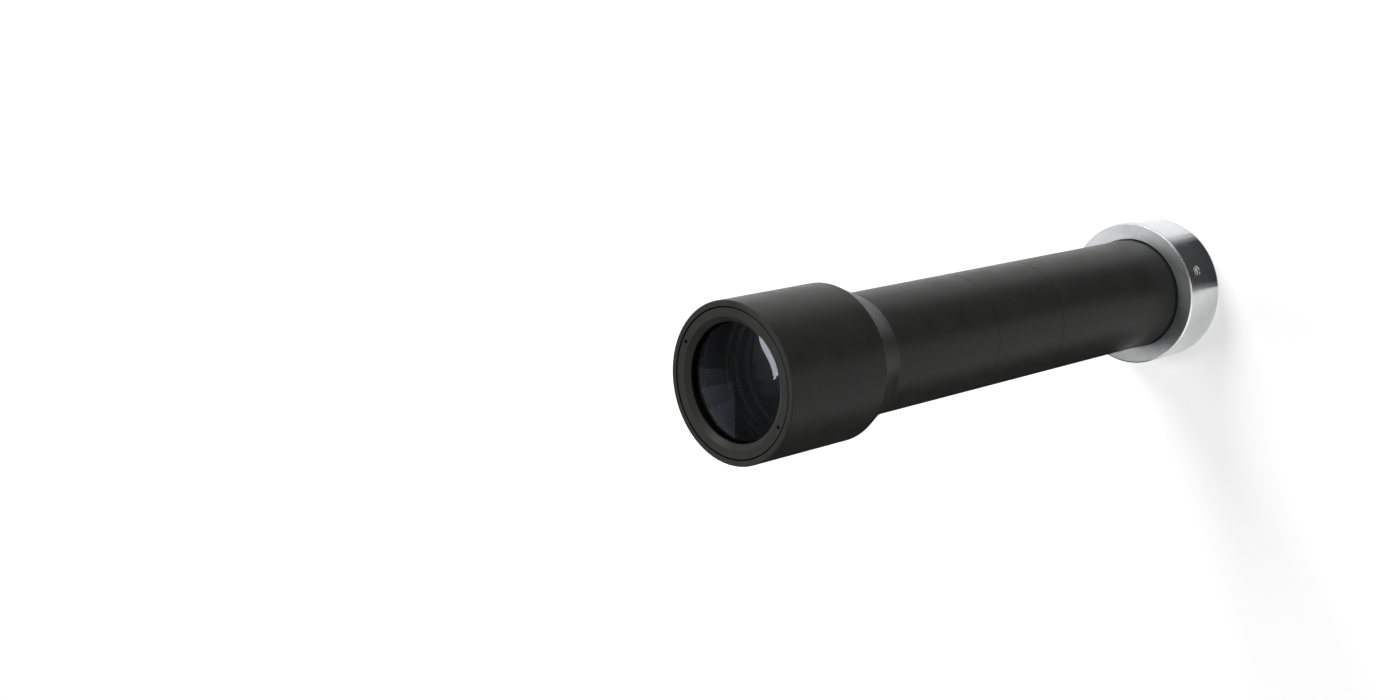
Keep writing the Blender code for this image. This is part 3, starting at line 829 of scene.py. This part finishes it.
def bare_turned(name, light, dark, roughness, anisotropy, marks=0.12):
    material, tree, coords = new_material(name)
    parts = add(tree, "ShaderNodeSeparateXYZ", {"Vector": coords})
    flat = add(tree, "ShaderNodeCombineXYZ", {"X": parts.outputs["X"], "Y": parts.outputs["Y"]})
    reach = add(tree, "ShaderNodeVectorMath", {0: flat.outputs["Vector"]}, operation="LENGTH")
    along = add(tree, "ShaderNodeMath", {
        0: reach.outputs["Value"], 1: parts.outputs["Z"],
    }, operation="ADD")
    rings = add(tree, "ShaderNodeTexNoise", {
        "W": along.outputs["Value"], "Scale": per_metre(FEED), "Detail": 3.0, "Roughness": 0.7,
    }, noise_dimensions="1D")
    clouds = add(tree, "ShaderNodeTexNoise", {
        "Vector": coords, "Scale": per_metre(CLOUDS), "Detail": 5.0, "Roughness": 0.65,
    })
    colour = add(tree, "ShaderNodeMix", {
        "Factor": clouds.outputs["Fac"], "A": linear(light), "B": linear(dark),
    }, data_type="RGBA")
    smooth = add(tree, "ShaderNodeMath", {
        0: rings.outputs["Fac"], 1: clouds.outputs["Fac"],
    }, operation="ADD")
    dull = add(tree, "ShaderNodeMapRange", {
        "Value": smooth.outputs["Value"], "From Min": 0.6, "From Max": 1.4,
        "To Min": roughness - 0.06, "To Max": roughness + 0.08,
    })
    bump = add(tree, "ShaderNodeBump", {
        "Height": rings.outputs["Fac"], "Strength": marks, "Distance": 0.02 * MM,
    })
    around = add(tree, "ShaderNodeTangent", direction_type="RADIAL", axis="Z")
    shader = add(tree, "ShaderNodeBsdfPrincipled", {
        "Base Color": colour.outputs["Result"],
        "Metallic": 1.0,
        "Roughness": dull.outputs["Result"],
        "Anisotropic": anisotropy,
        "Tangent": around.outputs["Tangent"],
        "Normal": bump.outputs["Normal"],
    })
    add(tree, "ShaderNodeOutputMaterial", {"Surface": shader.outputs["BSDF"]})
    return material


bare_aluminium = bare_turned("bare turned aluminium", "#d7d8d8", "#c5c6c7", 0.24, 0.45)
faced_aluminium = bare_turned("bare faced aluminium", "#cfd1d2", "#a0a3a4", 0.40, 0.4, marks=0.5)
# The pale colour of the crests is a painted glint, and the dark colour of the grooves painted
# shade.
crest_painted_glint = bare_turned("thread crest, painted glint", "#f2ebe6", "#dcd4cf", 0.3, 0.0)
groove_painted_shade = bare_turned("thread groove, painted shade", "#3a3836", "#2a2928", 0.4, 0.0)
# The chamfers' paler colour is a painted highlight.
chamfer_painted_highlight = bare_turned("aluminium chamfer, painted highlight", "#f4f5f5", "#e8e9e9", 0.24, 0.45)
screw_steel = bare_turned("stainless steel", "#6f6e6b", "#5a5957", 0.35, 0.2)
print("Bright finishes:", bare_aluminium.name, "with four more, and", screw_steel.name)

# %% [markdown]
# Where the bright finishes go
#
# The flat face and the two chamfers are known by their place. In the tapped holes, a face that
# looks outwards along the hole is the side of a crest and gets a pale colour, a painted glint,
# and the others get a dark one, painted shade in the grooves.

# %% Where the bright finishes go
TURNED, FACED, CREST_GLINT, GROOVE_SHADE, CHAMFER_HIGHLIGHT = range(5)
CHAMFER_START = RING_RADIUS - RING_CHAMFER - 0.05
HOLE_REACH = HOLE_RADIUS + 0.35
HOLE_WALLS = (24.2, RING_RADIUS - 0.2, HOLE_HEIGHT - HOLE_REACH, HOLE_HEIGHT + HOLE_REACH)
give(
    mount_ring, bare_aluminium, faced_aluminium, crest_painted_glint, groove_painted_shade, chamfer_painted_highlight
)
for face in mount_ring.data.polygons:
    reach, height = face.center.xy.length / MM, face.center.z / MM
    on_side = RING_CHAMFER + 0.01 < height < RING_TOP - RING_CHAMFER - 0.01
    if face.normal.z > 0.99 and height > RING_TOP - 0.1:
        face.material_index = FACED
    # Chamfers get the paler colour of a painted highlight.
    elif reach > CHAMFER_START and not on_side:
        face.material_index = CHAMFER_HIGHLIGHT
    # In the tapped holes, faces that look outwards get a painted glint, and the others painted
    # shade.
    elif in_zone(face, HOLE_WALLS):
        outwards = face.center.xy.normalized()
        face.material_index = GROOVE_SHADE if face.normal.xy.dot(outwards) < 0.3 else CREST_GLINT
    else:
        face.material_index = TURNED
for piece in screws:
    give(piece, screw_steel)
print("The ring has", len(mount_ring.data.materials), "finishes")

# %% [markdown]
# Glass
#
# Crown glass refracts light by 1.52 and flint by 1.62. The front face still mirrors the studio,
# so it keeps 1.52 with only a light blue tint of its reflection. The faces inside have a coating
# against reflections. It is set by an IOR of 1.15, which reflects about half a percent, and on
# the flint's rear face by a dark tint. The cemented faces hardly reflect, because the light goes
# from glass to glass there. So the crown's rear face has an IOR of almost 1 and the flint's front
# face that of flint over crown, 1.066. The edge of each element is ground and painted black, as in
# any good lens, which keeps the rim from glowing. A thin film from handling lies on the faces,
# drawn as a roughness that changes over 20 mm.

# %% Glass materials
FILM = 20.0


def clear_glass(name, colour, tint, ior):
    material, tree, coords = new_material(name)
    film = add(tree, "ShaderNodeTexNoise", {"Vector": coords, "Scale": per_metre(FILM)})
    wipe = add(tree, "ShaderNodeMapRange", {
        "Value": film.outputs["Fac"], "To Min": 0.0, "To Max": 0.004,
    })
    shader = add(tree, "ShaderNodeBsdfPrincipled", {
        "Base Color": linear(colour),
        "Roughness": wipe.outputs["Result"],
        "IOR": ior,
        "Transmission Weight": 1.0,
        "Specular Tint": linear(tint),
    })
    add(tree, "ShaderNodeOutputMaterial", {"Surface": shader.outputs["BSDF"]})
    return material


front_glass = clear_glass("coated front glass", "#f4f8fa", "#d3d7e6", 1.52)
crown_glass = clear_glass("coated crown glass", "#f4f8fa", "#9aa4bc", 1.15)
flint_glass = clear_glass("coated flint glass", "#f6f6f0", "#3c484c", 1.62)
cement = clear_glass("optical cement", "#ffffff", "#ffffff", 1.001)
cemented_flint = clear_glass("cemented flint glass", "#f6f6f0", "#ffffff", 1.066)
edge_paint = black_anodised("blackened ground glass edge", "#0c0c0c", "#131313", 0.2, 0.6)
print("Glass of four kinds, cement between two of them, and", edge_paint.name)

# %% [markdown]
# Where the glass finishes go
#
# An element's polished faces look up or down and end short of its edge. The rest, the edge and
# its safety bevels, gets the black paint.

# %% Where the glass finishes go
POLISHED_RADIUS = GLASS_RADIUS - 0.3


def cover_faces(piece, front, rear):
    """Give a lens element its front, rear and edge finishes by which way its faces point."""
    give(piece, front, rear, edge_paint)
    for face in piece.data.polygons:
        polished = face.center.xy.length < POLISHED_RADIUS * MM
        if polished and face.normal.z > 0.5:
            face.material_index = 0
        elif polished and face.normal.z < -0.5:
            face.material_index = 1
        else:
            face.material_index = 2


cover_faces(crown, front_glass, cement)
cover_faces(flint, cemented_flint, flint_glass)
cover_faces(meniscus, crown_glass, crown_glass)
print("Covered the faces of", crown.name, flint.name, meniscus.name)

# %% [markdown]
# Finishes of the hidden pieces
#
# The pieces deeper inside keep their solids. Each gets the finish of its slot.

# %% Finishes of the hidden pieces
inside_finish = {
    "black_anodised_aluminium": inner_black,
    "bare_aluminium": bare_aluminium,
    "screw_steel": screw_steel,
    "crown_glass": crown_glass,
    "flint_glass": flint_glass,
}
for row in frame["record"]["subparts"]:
    node = nodes[row["node"]]
    if not node.hide_render:
        give(node, inside_finish[row["material_slot"]])
        print(row["node"], "keeps its solid")

# %% [markdown]
# Floor
#
# The floor is pale paper and takes the shadow. To the camera, and in reflections, it is
# brightened to white by a glow of its own, so the lamps can stay at a plain level. A Light Path
# node tells which rays see the glow, so that it doesn't light the lens as well.

# %% Floor
FLOOR_RADIUS = 6.0
FLOOR_DROP = 0.0001
deselect_all()
bpy.ops.mesh.primitive_circle_add(
    vertices=96, radius=FLOOR_RADIUS, fill_type="NGON", location=(0, 0, -FLOOR_DROP)
)
floor = bpy.context.object
floor.name = "floor"
print("The floor reaches", FLOOR_RADIUS, "m from the lens")

# %% Floor paint
FLOOR_GLOW = 0.45
PAPER_CLOUDS = 400.0


def seen_directly(tree):
    """1 for rays from the camera, reflections and glass, and 0 for the light on surfaces."""
    path = add(tree, "ShaderNodeLightPath")
    mirrored = add(tree, "ShaderNodeMath", {
        0: path.outputs["Is Camera Ray"], 1: path.outputs["Is Glossy Ray"],
    }, operation="MAXIMUM")
    through = add(tree, "ShaderNodeMath", {
        0: mirrored.outputs["Value"], 1: path.outputs["Is Transmission Ray"],
    }, operation="MAXIMUM")
    return through.outputs["Value"]


floor_paint, tree, coords = new_material("pale floor")
paper = add(tree, "ShaderNodeTexNoise", {"Vector": coords, "Scale": per_metre(PAPER_CLOUDS)})
tone = add(tree, "ShaderNodeMix", {
    "Factor": paper.outputs["Fac"], "A": linear("#e6e6e6"), "B": linear("#e9e9e9"),
}, data_type="RGBA")
matt = add(tree, "ShaderNodeBsdfDiffuse", {"Color": tone.outputs["Result"]})
glow_strength = add(tree, "ShaderNodeMath", {
    0: seen_directly(tree), 1: FLOOR_GLOW,
}, operation="MULTIPLY")
glow = add(tree, "ShaderNodeEmission", {"Strength": glow_strength.outputs["Value"]})
both = add(tree, "ShaderNodeAddShader", {0: matt.outputs["BSDF"], 1: glow.outputs["Emission"]})
add(tree, "ShaderNodeOutputMaterial", {"Surface": both.outputs["Shader"]})
give(floor, floor_paint)
print("The floor glows at", FLOOR_GLOW)

# %% [markdown]
# World
#
# The studio's walls are white to the camera, in reflections and through glass. As light on the
# lens they give about a third of that, so that the lamps shape it.

# %% World
WORLD_LIGHT = 0.35
world = bpy.data.worlds.new("studio")
bpy.context.scene.world = world
world.use_nodes = True
tree = world.node_tree
tree.nodes.clear()
strength = add(tree, "ShaderNodeMapRange", {
    "Value": seen_directly(tree), "To Min": WORLD_LIGHT, "To Max": 1.0,
})
sky = add(tree, "ShaderNodeBackground", {"Strength": strength.outputs["Result"]})
add(tree, "ShaderNodeOutputWorld", {"Surface": sky.outputs["Background"]})
print("The world gives", WORLD_LIGHT, "of its brightness as light")

# %% [markdown]
# Lamps
#
# Three softboxes light the lens, as in a product studio. The overhead one hangs level, and the
# front glass mirrors it as a crescent. The side one stands where up is in the picture and lights
# the tube from there. A weak one fills the shadows. Neither the camera nor rays through glass see
# them.

# %% Lamps
MIDDLE = Vector((0.0, 0.0, 0.14))


def softbox(name, location, size, watts):
    """A lamp with a soft rectangular face, in metres, that looks at the middle of the lens."""
    deselect_all()
    bpy.ops.object.light_add(type="AREA", location=location)
    lamp = bpy.context.object
    lamp.name = name
    lamp.data.shape = "RECTANGLE"
    lamp.data.size, lamp.data.size_y = size
    lamp.data.energy = watts
    lamp.visible_camera = False
    lamp.visible_transmission = False
    lamp.rotation_euler = (MIDDLE - lamp.location).to_track_quat("-Z", "Y").to_euler()
    print(name, "has", watts, "watts")
    return lamp


OVERHEAD_TURN = math.radians(36.3)
overhead = softbox("overhead_softbox", (0.177, 0.631, 1.80), (0.58, 0.5), 9.5)
overhead.rotation_euler = (0.0, 0.0, OVERHEAD_TURN)
softbox("side_softbox", (1.5, 0.5, 1.6), (0.9, 0.9), 28.0)
softbox("fill_softbox", (-1.30, -1.20, 1.30), (1.4, 1.4), 2.5)

# %% [markdown]
# Cards
#
# Bright metal and glass show what stands round them, so their tones are shaped with cards, as a
# photographer does. A card could be a lamp or a wall as well, but a plain matt card that only
# reflections see changes nothing else: it casts no shadow and throws no light.

# %% Cards
def card_cloth(name, tone):
    material, tree, _ = new_material(name)
    cloth = add(tree, "ShaderNodeBsdfDiffuse", {"Color": linear(tone)})
    add(tree, "ShaderNodeOutputMaterial", {"Surface": cloth.outputs["BSDF"]})
    return material


def flag(name, corners, cloth):
    """A card that only shows in reflections. Its corners are in metres."""
    mesh = bpy.data.meshes.new(name)
    mesh.from_pydata(corners, [], [tuple(range(len(corners)))])
    card = bpy.data.objects.new(name, mesh)
    bpy.context.collection.objects.link(card)
    give(card, cloth)
    card.visible_camera = False
    card.visible_diffuse = False
    card.visible_shadow = False
    print(name, "is", cloth.name)


dark_cloth = card_cloth("black card", "#141414")
slate_cloth = card_cloth("dark grey card", "#505254")
fading_cloth = card_cloth("fading grey card", "#8c8e90")
grey_cloth = card_cloth("grey card", "#949494")
print("Cards of", dark_cloth.name, slate_cloth.name, fading_cloth.name, grey_cloth.name)

# %% [markdown]
# Cards beside the ring
#
# The dark band on the ring's side is the mirror image of cards that lie on the floor. Each card
# is drawn from the two angles on the ring between which it shows, and narrow cards of paler cloth
# let the band fade at both ends. Two black cards darken the side where it lies low in the picture.

# %% Cards beside the ring
MIRROR_TURN = math.radians(80)
CARD_LIFT = 0.0003
NEAR_REACH = 0.03
CARD_STEPS = 8


def beside_ring(first, last, start, reach):
    """Corners of a card on the floor that fills the ring's side between two angles.

    Seen from the camera, the side at angle a mirrors the floor along the direction 2a + 80. The
    card runs along it from start to reach, in metres.
    """
    foot = (RING_RADIUS + 0.1) * MM
    share = (last - first) / CARD_STEPS
    inside = []
    outside = []
    for step in range(CARD_STEPS + 1):
        angle = math.radians(first + share * step)
        at_ring = Vector((foot * math.cos(angle), foot * math.sin(angle), CARD_LIFT))
        away = 2 * angle + MIRROR_TURN
        along = Vector((math.cos(away), math.sin(away), 0.0))
        inside.append(at_ring + start * along)
        outside.append(at_ring + reach * along)
    return inside + outside[::-1]


pale_cloth = card_cloth("pale card", "#dfe1e2")
flag("near_flag", beside_ring(-86.5, -48.2, 0.0, NEAR_REACH), slate_cloth)
flag("lower_fade", beside_ring(-90.5, -86.5, 0.0, NEAR_REACH), fading_cloth)
flag("upper_fade", beside_ring(-48.2, -44.8, 0.0, NEAR_REACH), fading_cloth)
flag("pale_fade", beside_ring(-44.8, -40.0, 0.0, NEAR_REACH), pale_cloth)
flag("middle_flag", beside_ring(-82.0, -41.5, NEAR_REACH, 0.6), slate_cloth)
flag("under_flag", beside_ring(-122.0, -140.0, 0.026, 1.0), dark_cloth)
flag("far_flag", beside_ring(-140.0, -178.0, 0.028, 1.0), dark_cloth)

# %% [markdown]
# Cards overhead
#
# The bulging front glass mirrors all that hangs over the lens. A large grey card covers the
# ceiling, and a door right under the overhead softbox cuts its mirror image to the crescent.

# %% Cards overhead
CEILING = 1.9
DOOR_HEIGHT = 1.79


def level(height, *places):
    """Corners of a card that hangs level at this height, at these x and y, in metres."""
    return [(x, y, height) for x, y in places]


flag("high_flag", level(
    CEILING,
    (-4.0, -0.2),
    (4.0, -0.2),
    (4.0, 1.7),
    (-0.09, 1.7),
    (-0.09, 1.56),
    (-0.35, 1.62),
    (-0.54, 1.7),
    (-0.75, 1.85),
    (-0.94, 2.02),
    (-1.21, 2.29),
    (-4.0, 5.1),
), grey_cloth)
flag("lamp_door", level(
    DOOR_HEIGHT,
    (0.50, 0.84),
    (0.277, 0.84),
    (0.189, 0.79),
    (0.103, 0.712),
    (0.020, 0.652),
    (-0.064, 0.618),
    (-0.148, 0.612),
    (-0.23, 0.615),
    (-0.35, 0.75),
    (0.35, 1.15),
), grey_cloth)

# %% [markdown]
# Blinds behind the lens
#
# Three upright blinds, each paler than the one before it, draw the paler patch in the front
# glass in steps. A darker card stands beside them. A low card behind the lens and one in front
# of it darken the rest.

# %% Blinds behind the lens
BLIND_DISTANCE = 1.7


def upright(*places):
    """Corners of a card that stands behind the lens, at these x and z, in metres."""
    return [(x, BLIND_DISTANCE, z) for x, z in places]


def panel(left, right, low, high):
    """Corners of an upright card with straight sides."""
    return upright((left, low), (right, low), (right, high), (left, high))


flag("side_flag", panel(-0.09, 4.0, 0.9, CEILING), card_cloth("half dark card", "#6e6e6e"))
flag("first_blind", panel(-0.27, -0.09, 0.5, 2.1), card_cloth("shaded blind", "#a2a4aa"))
flag("second_blind", panel(-0.48, -0.27, 0.5, 2.1), card_cloth("half lit blind", "#cdd1dc"))
flag("third_blind", upright(
    (-0.48, 0.5),
    (-0.48, 1.95),
    (-0.54, 1.9),
    (-0.69, 1.77),
    (-0.79, 1.65),
    (-0.90, 1.48),
    (-1.33, 0.82),
    (-1.45, 0.5),
), card_cloth("lit blind", "#eceffe"))
flag("low_flag", [(-0.13, 1.1, 0), (-0.13, 1.1, 0.5), (-1.1, 0.4, 0.5), (-1.1, 0.4, 0)], dark_cloth)
flag("front_flag", [(0.2, -2, 0.8), (0.2, -2, 1.8), (1.8, -1, 1.8), (1.8, -1, 0.8)], dark_cloth)

# %% [markdown]
# Camera
#
# The photo was measured before: the circles of the head and the ring and the lines of the tube
# fit a camera with a lens of 50 mm on a sensor 36 mm wide, which looks down at the standing lens
# by 43 degrees and is rolled by a quarter turn, so that the lens lies across the picture. Three
# angles would be hard to read, so its own axes are given: they are the columns of its matrix. The
# Standard view shows colours as they are, as a product photo does.

# %% Camera
CAMERA_PLACE = (0.0835, -0.4882, 0.7561)
CAMERA_RIGHT = (-0.10540, -0.69586, -0.71041)
CAMERA_UP = (0.98917, 0.0, -0.14676)
CAMERA_BACK = (0.10213, -0.71819, 0.68832)
FOCAL_LENGTH = 50.14
SENSOR_WIDTH = 36.0
deselect_all()
bpy.ops.object.camera_add()
camera = bpy.context.object
camera.data.lens = FOCAL_LENGTH
camera.data.sensor_width = SENSOR_WIDTH
axes = [Vector(axis).normalized() for axis in (CAMERA_RIGHT, CAMERA_UP, CAMERA_BACK)]
turned_to = Matrix(axes).transposed().to_4x4()
camera.matrix_world = Matrix.Translation(CAMERA_PLACE) @ turned_to
bpy.context.scene.camera = camera
bpy.context.scene.view_settings.view_transform = "Standard"
print("The camera stands at", CAMERA_PLACE)

# %% [markdown]
# Hand over
#
# The box of the imported model is printed.

# %% Finish
print("CAD box", cad_box)
